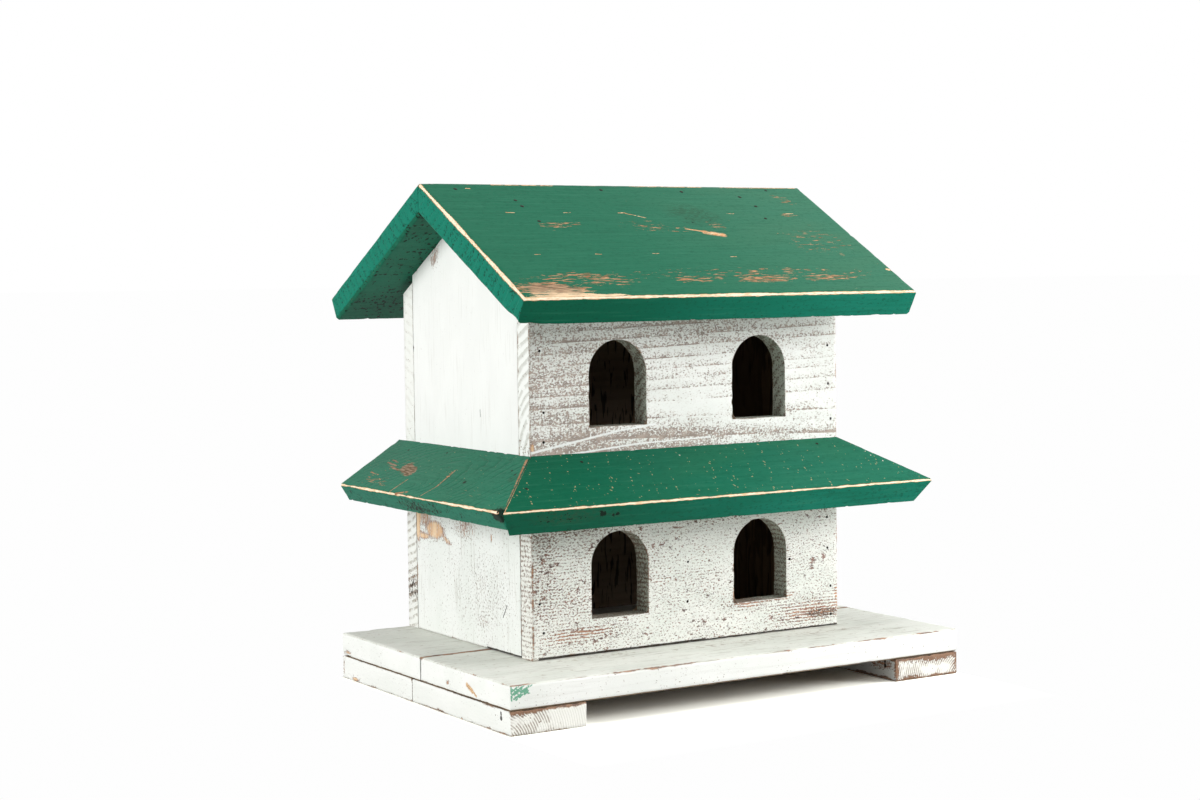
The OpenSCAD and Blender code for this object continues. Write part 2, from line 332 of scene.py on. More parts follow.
def white_paint(name, paint="F0F1ED", shade="EAECE7", level=0.62, size=(2.1, 1.6, 1.6), upright=0,
                bands=0, ladder=0, clear=0.85, haze=0, spread=0.25, clumps=0, patch=0.12,
                streaks=0, wander=1.3, brown=("8E7364", "66503F"), dark_lines=(), green_lines=(),
                white_lines=(), tan_lines=()):
    """White paint over sawn board. level is how much of the grain shows through (0.5 is half, 0.7
    almost none), upright turns the specks across the grain, bands thickens them towards each
    late-wood line, ladder sets them in rows, and clear is how strong they are. haze tints the thin
    paint round them, spread is how much wear adds to them and clumps the level of the larger
    chips. Green lines are on the front edge and tan ones on the end of a board."""
    s = Shader(name + "_paint")
    fibre, late, part = s.timber(wander)
    s.colour = s.mix(s.spots((70, 30, 30), 0.35, 0.65, detail=3), paint, shade)
    if streaks:
        thin = s.spots((38, 2.2, 2.2), 0.52, 0.7, detail=3, shift=5)
        s.coat(s.times(thin, s.spots((50, 12, 12), 0.42, 0.6, shift=1)), "A8A496", streaks)
    grain = s.noise(size, detail=3, rough=0.65)
    if upright:
        across = s.noise((1.3, 4.5, 1.3), rough=0.6, twist=1, shift=6)
        grain = s.add((grain, 1 - upright), (across, upright))
    chips = s.add(grain, s.swing((42, 22, 22), patch, shift=4))
    chips = s.add(chips, (s.worn, spread), (s.dirt, 0.13))
    if bands:
        dense = s.add(s.smooth(part, 0.8, 0.1), s.smooth(part, 0.16, 0.04))
        dense = s.math("SUBTRACT", s.times(dense, s.smooth(part, 0, 0.02)), 0.6)
        chips = s.add(chips, s.times(dense, s.spots((46, 9, 9), 0.3, 0.68, shift=2), bands))
    hatch = s.noise((6, 1.4, 1.4) if ladder else (10, 1.3, 1.3), detail=3, rough=0.65, shift=1)
    if ladder:
        row = s.math("SINE", s.times(s.add(s.board[1], s.swing(13, 2.2)), 2 * math.pi / 2.7))
        pick = s.times(s.spots((32, 16, 16), 0.38, 0.6, shift=2), ladder)
        chips = s.add(chips, (row, s.add(pick, (s.worn, 0.1))))
        hatch = s.add(hatch, (row, 0.1))
    s.gone = s.smooth(chips, level - 0.025, level + 0.025)
    if haze:
        s.coat(s.smooth(chips, level - 0.16, level), "BDB2A7", haze)
    tone = s.mix(s.spots((7, 4, 4), 0.38, 0.62, shift=6), *brown)
    tone = s.mix(s.times(s.smooth(s.worn, 0.4, 0.62), 0.7), tone, "9A6A50")
    tone = s.mix(s.times(s.smooth(s.dirt, 0.1, 0.7), 0.65), tone, "3A2D24")
    s.coat(s.gone, tone, clear)
    if clumps:
        s.coat(s.spots((8, 4, 4), 0.42, 0.66, detail=3, rough=0.6, shift=12), "B4BAB2", 0.16)
        clump = s.noise((5.4, 3.6, 3.6), detail=3, rough=0.68, shift=11)
        clump = s.add(clump, (s.dirt, 0.13), s.swing(24, 0.3, shift=3))
        rust = s.mix(s.spots(5, 0.4, 0.6, shift=4), "8A6252", "543A30")
        s.strip(s.smooth(clump, clumps, clumps + 0.025), rust, 0.9)

    bare = s.mix(s.spots((9, 1.6, 1.6), 0.4, 0.6, shift=2), "8C6350", "BC8D70")
    wood = s.wood_tone(fibre, late, "EBCCA6", "CD9C72", 0.7)
    bare = s.mix(s.smooth(s.worn, 0.7, 0.86), bare, wood)
    bare = s.mix(s.times(s.smooth(s.dirt, 0.2, 0.7), s.spots(4, 0.45, 0.55)), bare, "4A3830")
    s.strip(s.smooth(s.add(hatch, (s.worn, 0.7)), 0.98, 1.03), bare, 0.92)
    edge = s.add(s.bare, s.add(s.swing((6, 1.8, 1.8), 2.8), s.swing(16, 3.4)))
    s.coat(s.smooth(edge, -0.9, -0.1), "9C8472", 0.35)
    brown_edge = s.mix(s.spots((9, 2, 2), 0.4, 0.6), "6F5244", "A87C5C")
    s.strip(s.smooth(edge, -0.1, 0.25), brown_edge, 0.85)
    if tan_lines:
        s.coat(s.marks(tan_lines, 1.6, (1, 2)), s.mix(s.smooth(fibre, 0.4, 0.6), "A87E5A", "E8C79C"))
    if white_lines:
        s.coat(s.marks(white_lines, 1.2), "F4F5F3", 0.9)
    # dark lines: cracks and nail marks, and painted shade in the gaps where one board meets another
    if dark_lines:
        crack_and_gap_shade = s.smooth(s.add(s.marks(dark_lines, 0.6), s.swing((9, 6, 3), 1.2)), 0.45, 0.65)
        s.strip(crack_and_gap_shade, "201A15", 0.92)
    if green_lines:
        smear = s.times(s.marks(green_lines, 1.6, (0, 2)), s.spots(2.2, 0.34, 0.42, shift=8))
        s.coat(smear, "2F9570", 0.85)
    rough = s.add((s.gone, 0.14), (grain, 0.2), 0.5)
    height = s.add((grain, 0.4), (s.gone, -0.6), (late, 0.25))
    return s.finish(rough, height, specular=0.25)


def end_grain(name, paint, shade, dark, share=0.5, level=0.62, green=False, cover=(0.36, 0.62), width=0.3,
              broken=6, gap=0):
    """Painted end grain: growth rings stand out as curved ridges with paint worn off between them.
    width is the worn part of each ring, broken the length of the pieces it is worn in, share how
    strongly it shows, and gap the height of a painted shade line under a board that lies on top."""
    s = Shader(name + "_paint")
    part = s.math("FRACT", s.add(s.ring, s.swing(11, 0.5), s.swing(3, 0.12)))
    groove = s.times(s.smooth(part, 0.9 - width * 1.6, 0.9 - width * 0.6), s.smooth(part, 1, 0.9))
    s.colour = s.mix(s.noise(22, detail=3), paint, shade)
    pick = s.smooth(s.add(s.noise(broken, shift=3), (s.worn, 0.3)), *cover)
    s.coat(s.times(groove, pick), dark, share)
    pores = s.noise(1.8, rough=0.65, shift=5)
    chips = s.add(pores, (s.worn, 0.34), s.swing(13, 0.2), (groove, 0.06))
    fleck = s.smooth(chips, level, level + 0.05)
    s.coat(fleck, "0B2E23" if green else "7A6253", 0.8)
    edge = s.add(s.bare, s.add(s.swing(3, 2.6), s.swing(11, 2.6)))
    bare = ("F3D9B0", "D9A978") if green else ("6B5042", "8F6E56")
    s.coat(s.smooth(edge, -0.9, -0.2), "9C7B5B", 0.45)
    s.coat(s.smooth(edge, -0.2, 0.25), s.mix(s.spots(6, 0.4, 0.6), *bare), 0.95)
    rub = s.add(s.noise((3, 2, 2), shift=7), (s.worn, 0.6), (groove, 0.06))
    s.coat(s.smooth(rub, 0.88, 0.94), s.mix(s.noise(4), "6C5040", "9E7A60"))
    hole = s.smooth(s.add((s.dirt, 0.4), s.noise((3, 5, 2.4), shift=2)), 0.76, 0.82)
    s.coat(hole, "07150F" if green else "35281F", 0.9)
    # painted shade: a dark line on the end grain under the board that lies on top
    if gap:
        line = s.add(s.board[1], s.swing((9, 3, 9), 3))
        s.coat(s.smooth(line, gap, gap + 0.5), "1A1410")
    rough = s.add((pores, 0.2), 0.45 if green else 0.55)
    height = s.add((groove, -0.5), (pores, 0.5), (fleck, -0.6), (hole, -1))
    return s.finish(rough, height, specular=0.06 if green else 0.25)


def raw_wood(name, light, dark, grime, share, drips=False):
    """Unpainted wood, stained inside the house"""
    s = Shader(name)
    fibre, late, _ = s.timber()
    s.colour = s.wood_tone(fibre, late, light, dark, 0.8)
    size, low = ((4, 24, 6), 0.56) if drips else ((42, 11, 11), 0.5)
    s.coat(s.spots(size, low, 0.6, twist=0.5, shift=3), grime, share)
    height = s.add((fibre, 0.7), (late, 0.3))
    return s.finish(s.add((fibre, 0.2), 0.66), height, specular=0.2)


def steel(name, colour, stain):
    s = Shader(name)
    s.colour = s.mix(s.spots(0.7, 0.4, 0.6), colour, stain)
    rough = s.add((s.noise(0.5), 0.25), 0.45)
    return s.finish(rough, s.noise(0.4), specular=0.15, depth=0.04)


# ---- meshes


scene = bpy.context.scene


def new_object(name, data):
    made = bpy.data.objects.new(name, data)
    scene.collection.objects.link(made)
    return made


def read(items, key):
    """One vector of each vertex or face as the rows of an array"""
    flat = np.empty(len(items) * 3)
    items.foreach_get(key, flat)
    return flat.reshape(-1, 3)


def write(mesh, key, values):
    """Stores a number or a vector for each point as an attribute"""
    kind, field = ("FLOAT_VECTOR", "vector") if values.ndim == 2 else ("FLOAT", "value")
    layer = mesh.attributes.new(key, kind, "POINT")
    layer.data.foreach_set(field, values.astype(np.float32).ravel())


def shade_smooth(mesh):
    mesh.polygons.foreach_set("use_smooth", np.ones(len(mesh.polygons), bool))


SPOT_EDGE = (0.35, 1.25)  # shares of a spot's size between which it fades


def blobs(place, spots):
    """Soft-edged spots at each place: the largest of the positive ones, less the negative ones"""
    total = np.zeros(len(place))
    for u, v, long, wide, amount, *more in spots:
        turn, reach, depth = more + [0, np.inf, 0][len(more) :]
        c, s = math.cos(math.radians(turn)), math.sin(math.radians(turn))
        du, dv, dw = (place - (u, v, depth)).T
        r = np.sqrt(((du * c + dv * s) / long) ** 2 + ((dv * c - du * s) / wide) ** 2 + (dw / reach) ** 2)
        share = amount * (1 - ramp(r, *SPOT_EDGE))
        total = np.maximum(total, share) if amount > 0 else total + share
    return total


# ---- boards

SIDES = ["main", "back", "ends", "edges", "reveal"]
# Heights on the walls are counted so that their foot, on top of the base, is at WALL_FOOT.
WALL_FOOT = 39.5
WALL_ORIGIN = Z * (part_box("base_plank_front")[1][2] - WALL_FOOT * MM)
MERGE = 1e-6  # metres between points that are one
FLAT, SHARP = 0.01, 0.6  # radians between faces that are one, and between faces whose arris wears
BEVEL_LENGTH, BEVEL_WIDTH = 25 * MM, 3.6 * MM  # a bevel is longer than the one, narrower than the other
BEVEL_BARE = (-2.5, 0.5)  # extra bare width and swing of the bevels without a strip of their own
OPENING_MARGIN = 12  # openings lie at least this far inside a board
WAVE, WEAR = 0.16, 0.35  # depth of the hollows in a face, and of the wear along an arris
boards = {}


def is_bevel(face):
    length = max(e.calc_length() for e in face.edges)
    return length > BEVEL_LENGTH and face.calc_area() / length < BEVEL_WIDTH


def centre_line(face):
    """(start, end, half width, normal) of a long narrow face"""
    edge = max(face.edges, key=lambda e: e.calc_length())
    way = (edge.verts[1].co - edge.verts[0].co).normalized()
    side = face.normal.cross(way)
    base = face.verts[0].co
    runs = [(v.co - base).dot(way) for v in face.verts]
    sides = [(v.co - base).dot(side) for v in face.verts]
    mid = base + side * (min(sides) + max(sides)) / 2
    half = (max(sides) - min(sides)) / 2
    return mid + way * min(runs), mid + way * max(runs), half, face.normal.copy()


def hollows(grown, near, seed):
    """How far the surface is worn down: faces are never quite flat, arrises never quite straight"""
    close = 1 - ramp(near, 0, 3.2)
    sink = WAVE * (0.5 + 0.5 * value_noise(grown, (70, 34, 34), seed + 1))
    sink += WEAR * close * (0.35 + 0.65 * ramp(value_noise(grown, 9, seed + 2), -0.3, 0.9))
    return sink + 2 * WEAR * close * ramp(value_noise(grown, 6, seed + 3), 0.55, 0.95)


class Board:
    """A packed board rebuilt as a fine mesh with worn arrises. grain is the direction of the
    grain, out the outward normal of its main face and across the direction of v. sloping puts
    v = 0 at the face's first edge instead of at the frame's origin."""

    def __init__(self, node, grain, out, across, sloping=False):
        self.node = node
        bm = self.bm = bmesh.new()
        bm.from_mesh(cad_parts[node].data)
        bmesh.ops.remove_doubles(bm, verts=bm.verts, dist=MERGE)
        bmesh.ops.dissolve_limit(bm, angle_limit=FLAT, verts=bm.verts, edges=bm.edges)
        bm.normal_update()
        face = max((f for f in bm.faces if f.normal.dot(out) > 0.7), key=lambda f: f.calc_area())
        self.out = face.normal.normalized()
        self.grain = (grain - self.out * grain.dot(self.out)).normalized()
        self.across = self.out.cross(self.grain)
        if self.across.dot(across) < 0:
            self.across.negate()
        self.level = face.verts[0].co.dot(self.out)
        self.first = min(v.co.dot(self.across) for v in face.verts) if sloping else 0
        self.origin = WALL_ORIGIN if "wall" in node else Vector()
        self.bevels = [centre_line(f) for f in bm.faces if is_bevel(f)]
        sharp = [e for e in bm.edges if e.is_convex and e.calc_face_angle(0) > SHARP]
        self.arrises = [(e.verts[0].co.copy(), e.verts[1].co.copy()) for e in sharp]
        boards[node] = self

    def point(self, u, v, lift=0):
        """The place u, v on the main face, lift millimetres above it"""
        flat = self.origin + self.grain * (u * MM) + self.across * (v * MM + self.first)
        return flat + self.out * (self.level + lift * MM)

    def places(self, co):
        """u, v and depth below the main face, in millimetres, for an array of points"""
        co = co - np.array(self.origin)
        u, v, height = (co @ np.array(axis) for axis in (self.grain, self.across, self.out))
        return np.stack([u, v - self.first, self.level - height], axis=1) / MM

    def cut(self, cell):
        """Cuts the board into cells along its own axes"""
        bm = self.bm
        for axis in (self.grain, self.across, self.out):
            runs = [v.co.dot(axis) for v in bm.verts]
            low, high = min(runs), max(runs)
            steps = max(1, round((high - low) / (cell * MM)))
            for k in range(1, steps):
                parts = bm.verts[:] + bm.edges[:] + bm.faces[:]
                level = axis * (low + (high - low) * k / steps)
                bmesh.ops.bisect_plane(bm, geom=parts, dist=MERGE, plane_co=level, plane_no=axis)

    def refined(self, cell):
        """The board as an object, cut into cells of which each face is split in sixteen"""
        self.cut(cell * (1))
        name = self.node + "_board"
        coarse = bpy.data.meshes.new(name)
        self.bm.to_mesh(coarse)
        self.bm.free()
        piece = new_object(name, coarse)
        finer = piece.modifiers.new("Finer", "SUBSURF")
        finer.subdivision_type = "SIMPLE"
        finer.levels = finer.render_levels = 2
        bpy.context.view_layer.update()
        fine = piece.evaluated_get(bpy.context.evaluated_depsgraph_get())
        piece.data = bpy.data.meshes.new_from_object(fine)
        piece.modifiers.clear()
        return piece

    def bareness(self, co, grown, near, strips, rim, seed):
        """Millimetres inside the worn rim of the paint, negative where the paint holds"""
        bare = np.full(len(co), -12)
        for start, end, half, facing in self.bevels:
            extra, swing = BEVEL_BARE
            for way, given, wide in strips:
                if facing.dot(way.normalized()) > 0.85:
                    extra, swing = given, wide
            gap = segment_distance(co, start, end)
            here = half / MM + extra + swing * value_noise(grown, 26, seed + 5) - gap
            bare = np.maximum(bare, here)
        return np.maximum(bare, rim + 1.2 * value_noise(grown, 12, seed + 6) - near)

    def build(self, materials, ring, seed, cell=9, strips=(), rim=-1.5, worn=(), dirt=(), chips=()):
        """Makes the piece. materials go by SIDES and ring(u, v, w) counts growth rings. strips are
        (direction, extra bare width, swing) for the bevels that face that way, and rim is the
        extra of sharp arrises. worn, dirt and chips are blobs (u, v, half length, half width,
        amount, and if wanted turn in degrees, reach in depth, depth). Negative amounts, given
        last, spare a place."""
        piece = self.refined(cell)
        mesh = piece.data
        co = read(mesh.vertices, "co")
        place = self.places(co)
        grown = place + np.array([310, 170, 90]) * seed  # each board its own part of the noise
        near = np.full(len(co), 99)
        for start, end, *_ in self.arrises + self.bevels:
            near = np.minimum(near, segment_distance(co, start, end))
        sink = hollows(grown, near, seed) + blobs(place, chips)
        co_worn = co - read(mesh.vertices, "normal") * (sink * MM)[:, None]
        mesh.vertices.foreach_set("co", co_worn.ravel())
        bare = self.bareness(co, grown, near, strips, rim, seed)
        layers = dict(board=place, wood=grown, ring=ring(*place.T), bare=bare)
        for key, values in (layers | dict(worn=blobs(place, worn), dirt=blobs(place, dirt))).items():
            write(mesh, key, values)
        mesh.update()
        self.paint(mesh, materials)
        shade_smooth(mesh)
        mesh.set_sharp_from_angle(angle=math.radians(32))
        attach(piece, "root")
        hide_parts(self.node)
        self.piece = piece

    def paint(self, mesh, materials):
        """Gives main face, back, ends, edges and openings their own materials"""
        for side in SIDES:
            mesh.materials.append(materials.get(side) or materials["main"])
        normal, place = read(mesh.polygons, "normal"), self.places(read(mesh.polygons, "center"))
        facing = normal @ np.array(self.out)
        along = np.abs(normal @ np.array(self.grain))
        index = np.where(facing > 0.5, 0, np.where(facing < -0.5, 1, np.where(along > 0.6, 2, 3)))
        if "reveal" in materials:
            flat, low, high = place[:, :2], place.min(0)[:2], place.max(0)[:2]
            inside = np.all((flat > low + OPENING_MARGIN) & (flat < high - OPENING_MARGIN), axis=1)
            index = np.where(inside & (np.abs(facing) < 0.5), 4, index)
        mesh.polygons.foreach_set("material_index", index.astype(np.int32))


def rings(v0, w0, pitch, lean=0, swell=0, sign=1):
    """Growth rings round a pith at v0, w0 below the face; lean and swell tilt and deepen it along u"""
    return lambda u, v, w: sign * np.hypot(v - v0 - lean * u, w + w0 + swell * u) / pitch


def lines_at(left, right, v0, w0):
    """Growth rings whose late-wood lines cross the face of the front wall at these heights at its
    left and right ends"""
    start, length = -162, 320

    def count(u, v, w):
        height = v0 + np.sqrt(np.clip((v - v0) ** 2 + (w0 + w) ** 2 - w0**2, 0, None))
        share = np.clip((u - start) / length, 0, 1)
        steps = np.arange(len(left))
        return (1 - share) * np.interp(height, left, steps) + share * np.interp(height, right, steps)

    return count


# ---- nails

HEAD_SIDES = 10
# Shares of the radius and of the height, from the centre out and down into the wood
HEAD_PROFILE = ((0, 0.9), (0.62, 1), (0.92, 0.55), (1, -0.6), (0.9, -4))


def head_loops(bm, base, spin, radius, proud, k):
    """Rings of points of the kth head, from its centre outwards"""
    for reach, lift in HEAD_PROFILE:
        loop = []
        for j in range(HEAD_SIDES if reach else 1):
            turn = 2 * math.pi * j / HEAD_SIDES
            squash = 1 + 0.12 * math.sin(2 * turn + k)
            local = (math.cos(turn) * reach * radius * squash, math.sin(turn) * reach * radius, lift * proud)
            loop.append(bm.verts.new(base + spin @ Vector(local) * MM))
        yield loop


def heads(node, name, material, spots, radius=1.25, proud=0.06):
    """Round nail heads or filled nail holes, set into the surface of a board"""
    board = boards[node]
    bm = bmesh.new()
    spin = Matrix((board.grain, board.across, board.out)).transposed()
    for k, (u, v) in enumerate(spots):
        hit, where, *_ = board.piece.ray_cast(board.point(u, v, 6), -board.out)
        base = where if hit else board.point(u, v)
        wide = radius * (0.85 + 0.3 * float(lattice(np.array([[k, 3, 7]]), 11)[0]))
        loops = list(head_loops(bm, base, spin, wide, proud, k))
        for inner, outer in zip(loops, loops[1:]):
            for j in range(HEAD_SIDES):
                after = (j + 1) % HEAD_SIDES
                corners = (inner[j % len(inner)], outer[j], outer[after], inner[after % len(inner)])
                bm.faces.new(list(dict.fromkeys(corners)))  # the centre counts once
        bm.faces.new(loops[-1][::-1])
    bmesh.ops.recalc_face_normals(bm, faces=bm.faces)
    mesh = bpy.data.meshes.new(name)
    bm.to_mesh(mesh)
    bm.free()
    write(mesh, "wood", read(mesh.vertices, "co") / MM)
    mesh.materials.append(material)
    shade_smooth(mesh)
    piece = new_object(name, mesh)
    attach(piece, "root")


# ---- materials of the house

EAVE_PALE = (188, 203)  # down the roof, bare wood turns pale between these
SAW_PITCH = 20

roof_lines = (
    (-145, 54, -137, 54.4, 0.6), (-88, 54, -81, 53.6, 0.5), (-32, 54, -25, 54, 0.6), (84, 54, 92, 54.4, 0.5),
    (151, 54, 159, 54, 0.6), (-156, 130, -151, 130, 0.5), (-97.5, 130, -92, 130.4, 0.5),
    (-40, 130, -34, 130, 0.5), (37, 136.6, 43, 136.6, 0.5), (-28.3, 53, -8.7, 63.3, 0.6),
    (21.3, 84.2, 40, 90, 1.2), (38, 91, 54, 96, 4), (-162, 8.7, -158, 8.7, 0.7), (192, 163, 198, 165, 2.2),
    (-133, 0.8, -72, 0.8, 1.2), (10, 0.8, 88, 0.8, 0.9), (110, 0.8, 196, 0.8, 0.8),
)
# painted shade: fade darkens the roof's top towards its left end, where less light falls
green_top = green_paint(
    "roof_top", "35735A", "3A7359", level=0.727, lines=roof_lines, fade=(-90, 210, "19674C"),
    cream=EAVE_PALE,
)
green_back = green_paint("roof_back", "226B50", "286B4F", cream=EAVE_PALE)
# painted shade: fade darkens the fascia paint towards low u, the left end of a front fascia, where less
# light falls
green_edge = green_paint(
    "green_edge", "0A6E58", "10745F", level=0.84, pits=0.745, mottled=0.55, fade=(-150, 120, "02563F")
)
green_edge_left = green_paint("green_edge_left", "166A54", "1A6C55", level=0.84, pits=0.65, mottled=0.55)
green_soffit = green_paint("green_soffit", "1C6A52", "1A6049", level=0.88, pits=0.585, pit=4.6)
green_end = end_grain("green_end", "107863", "0F725C", "0A5340", share=0.08, green=True)
# painted shade: fade darkens the skirt's top towards its left end, where less light falls
skirt_top = green_paint(
    "skirt_front", "1B6B53", "206B50", level=0.8, dots=(SAW_PITCH, 0.35, 0.1), fade=(-190, 110, "0A5C42"),
    lines=((-163.6, 1, -221, 69.5, 0.7),),
)
skirt_left_top = green_paint(
    "skirt_left", "226F55", "286E54", dots=(SAW_PITCH, 0.35, 0.03), cathedral=0.3,
    lines_tone=("BC9274", "986E50"),
    lines=(
        (24.2, 70.7, 7.6, 66.4, 1.4), (-108, 5, -163.5, 66, 1.5), (36.1, 69, 32.4, 51, 0.8),
        (-20.3, 68, -26.7, 53.5, 0.6), (-26.7, 53.5, -23.7, 31, 1), (108, 49, 90, 51, 0.9),
    ),
    patches=((60, 36, 43, 41, 8.5), (101, 33, 80, 36, 1.2), (86, 38, 66, 41, 1.4), (99, 29, 84, 31, 0.9)),
)
skirt_right_top = green_paint("skirt_right", "14684B", "1C684B", dots=(SAW_PITCH, -0.3, 0.08))

FINE_SAWN = (2, 1.3, 1.3)
upper_face = white_paint(
    "upper_face", "F0F1ED", "E8EAE5", level=0.556, size=FINE_SAWN, upright=0.3, bands=0.1, wander=0.16,
    haze=0.22, clear=0.78, brown=("A18A7B", "7A6253"),
    white_lines=(
        (-161, 213, -115.7, 220.7, 1.3), (-115.7, 220.7, -75.3, 227.5, 1.2),
        (-75.3, 227.5, -39.8, 231.2, 1), (-126.9, 209.6, -54.3, 215.6, 1), (-54.3, 215.6, 18.5, 217.4, 0.8),
    ),
)
# painted shadow: the dark lines run along the wall's foot, where it meets the base
lower_face = white_paint(
    "lower_face", "EDEEE8", "E6E9E2", level=0.6, size=FINE_SAWN, ladder=0.035, spread=0.1,
    clumps=0.635, haze=0.22, clear=0.93, brown=("957565", "6C5042"),
    dark_lines=((-156, 40.4, 10, 40.4, 1.6), (10, 40.2, 156, 40.2, 0.9)),
)
back_face = white_paint(
    "back_face", "EFF0EC", "E4E7E1", level=0.6, upright=0.3, bands=0.09, patch=0.14, wander=0.6, haze=0.2,
    clumps=0.72,
)
plain_face = white_paint(
    "plain_face", "EEEFEC", "EBECE9", level=0.72, patch=0.06, streaks=0.16, clear=0.5,
    dark_lines=((245, -21.8, 239, -22.2, 0.5),),
)
# painted shadow: the second dark line runs along the wall's foot, where it meets the base
left_lower_face = white_paint(
    "left_lower", "ECEEEA", "E6E9E4", level=0.655, streaks=0.32, clear=0.74, spread=0.16,
    dark_lines=((170, -87.2, 39.5, -87.2, 0.4), (40.2, -28, 40.2, -88, 1.3), (80.7, -63.8, 70, -56.5, 0.6)),
)
base_top = white_paint(
    "base_top", "E9EAE2", "E0E2D9", level=0.67, size=(6, 5, 3), streaks=0.8, clear=0.45, haze=0.2,
    brown=("A59C8A", "8E7A68"),
)
base_edge = white_paint("base_edge", level=0.7, streaks=0.1, clear=0.7)
base_edge_front = white_paint(
    "base_edge_front", level=0.672, patch=0.16, streaks=0.1, clear=0.75,
    green_lines=(
        (-228.8, 1, -228.2, 12, 0.9), (-228, 9, -219, 3, 1.2), (-226, 11, -214, 5, 1.1),
        (-228, 5, -222, 1.5, 1), (-222, 9.5, -213, 2.5, 1.1), (-225, 3, -216, 8, 0.8),
        (-219, 5.5, -210, 1.5, 1), (-227, 7, -217, 1.5, 0.9), (-224, 12, -216, 7, 0.8),
        (-221, 3.5, -212, 8, 0.7), (-227.5, 3, -220, 10, 0.7), (-217, 9, -213, 6, 0.8),
    ),
)
# painted shade: the dark line deepens the joint between the two planks
base_end = white_paint(
    "base_end", "F0F1ED", "EBEDE8", level=0.68, patch=0.14, clear=0.75,
    dark_lines=((-236, -32.2, -222, -32.2, 0.9),),
    tan_lines=((-114.5, 10.5, -122, 15, 2.3), (-121, 14.5, -130, 17.5, 1.2)),
)
# painted shadow: the first dark line runs under the base plank, where it lies on the runner; the others are
# a nail mark
runner_face = white_paint(
    "runner", level=0.685, patch=0.16, clear=0.75,
    dark_lines=(
        (-190, 20.3, -90, 20.3, 0.6), (-170.4, 16.6, -170.4, 16, 1.7), (-170.5, 16, -170.6, 12.6, 1.1),
        (-170.6, 12.6, -170.6, 12.2, 2.2),
    ),
)
end_upper = end_grain(
    "end_upper", "EFF0EC", "EBEDE9", "B9B9B0", share=0.6, level=0.76, cover=(0.36, 0.5), width=0.34
)
end_lower = end_grain(
    "end_lower", "ECECE6", "E2E3DC", "9C8D80", share=0.42, cover=(0.47, 0.56), broken=(4, 5, 4)
)
end_back = end_grain("end_back", "EEEFEA", "E9EAE5", "C6C2B8", share=0.22, level=0.7)
end_back_low = end_grain("end_back_low", "EEEFEA", "E9EAE5", "A09A8C", share=0.7, level=0.68)
# painted shade: gap draws the shade under the base plank as a dark line across the runner's end
runner_end = end_grain(
    "runner_end", "F2F2EC", "EBE9E1", "84705E", share=0.65, level=0.68, cover=(0.4, 0.54), broken=9,
    width=0.4, gap=19.6,
)
jamb = end_grain("jamb", "E0E4D8", "C2C7B9", "757A6C", share=0.4, level=0.52, cover=(0.3, 0.5))
inner_wall = raw_wood("inner_wall", "8C7964", "83705B", "120E0A", 0.8, drips=True)
dark_wood = raw_wood("dark_wood", "6E5A46", "4A3A2C", "2A1F16", 0.6)
grey_wood = raw_wood("grey_wood", "8E7A62", "5F4C3A", "3A2F25", 0.5)
dark_steel = steel("nail_dark", "12100E", "241C15")
filled_white = steel("nail_filled", "E9E4D8", "D8CDB8")

# ---- the house

# Outward directions of the sloping boards, close enough to tell their faces apart
UP_FRONT, UP_BACK, UP_LEFT, UP_RIGHT = ((2 * Z + way).normalized() for way in (-Y, Y, -X, X))


def skins(main, ends=grey_wood, back=dark_wood, edges=grey_wood, **more):
    return dict(main=main, back=back, ends=ends, edges=edges, **more)


def green_skins(main, edges=green_edge):
    return dict(main=main, back=green_soffit, ends=green_end, edges=edges)


Board("front_wall_upper", X, -Y, Z).build(
    skins(upper_face, end_upper, reveal=jamb), seed=3,
    ring=lines_at(
        (196, 208, 221.5, 235.5, 248.7, 258.1, 265.2, 273.7, 283.3, 292.7, *range(302, 330, 9)),
        (180, 196, 214.3, 236.1, 253.9, 265.8, 275.3, 283, 293.6, *range(303, 340, 9)), 196, 45),
    worn=(
        (-130, 262, 70, 80, 0.2), (-70, 213, 170, 22, 0.43), (-60, 310, 190, 14, 0.15),
        (110, 212, 90, 12, 0.25), (-160.5, 217, 2.5, 6, 1), (0, 248, 52, 14, -0.35),
        (130, 250, 70, 60, -0.15),
    ),
    strips=((-X - Y, -0.7, 0.6),), rim=-0.2,
)
Board("front_wall_lower", X, -Y, Z).build(
    skins(lower_face, end_lower, reveal=jamb), seed=4,
    ring=rings(-300, 0, 4.2, lean=-0.02),
    worn=(
        (-124, 57, 44, 10, 0.6, 2, 4), (-104, 59, 28, 5, 0.68, 3, 4), (126, 56, 54, 15, 0.6, 0, 4),
        (130, 55, 36, 8, 0.7, 2, 4), (92, 71, 22, 5, 0.68, 2, 4), (-91, 108, 4, 12, 0.84),
        (-120, 110, 90, 90, 0.2), (60, 68, 30, 4, 0.66, 2, 4), (158, 66, 7, 20, 0.76, 0, 5),
        (60, 68, 20, 10, 0.5), (-60, 160, 12, 5, 0.5), (-20, 152, 10, 3, 0.6),
    ),
    dirt=(
        (-118, 160, 56, 20, 0.9), (-150, 120, 14, 60, 0.35), (30, 158, 70, 16, 0.6),
        (-100, 90, 60, 70, 0.1), (138, 52, 22, 5, 0.9, 0, 4),
    ),
    strips=((-X - Y, -1.1, 0.9), (-Y - Z, -0.6, 0.6)), rim=-0.2,
)
Board("back_wall_upper", X, Y, Z).build(
    skins(back_face, end_back, inner_wall), rings(150, 50, 8, sign=-1), seed=5, cell=13,
    worn=((60, 250, 90, 60, 0.3),),
)
Board("back_wall_lower", X, Y, Z).build(
    skins(back_face, end_back_low, inner_wall), rings(240, 40, 7, sign=-1), seed=6, cell=13,
    worn=((-130, 66, 30, 10, 0.7), (60, 140, 50, 12, 0.5), (-163, 78, 8, 20, 0.42)),
    dirt=((-163, 76, 8, 13, 0.6),),
)
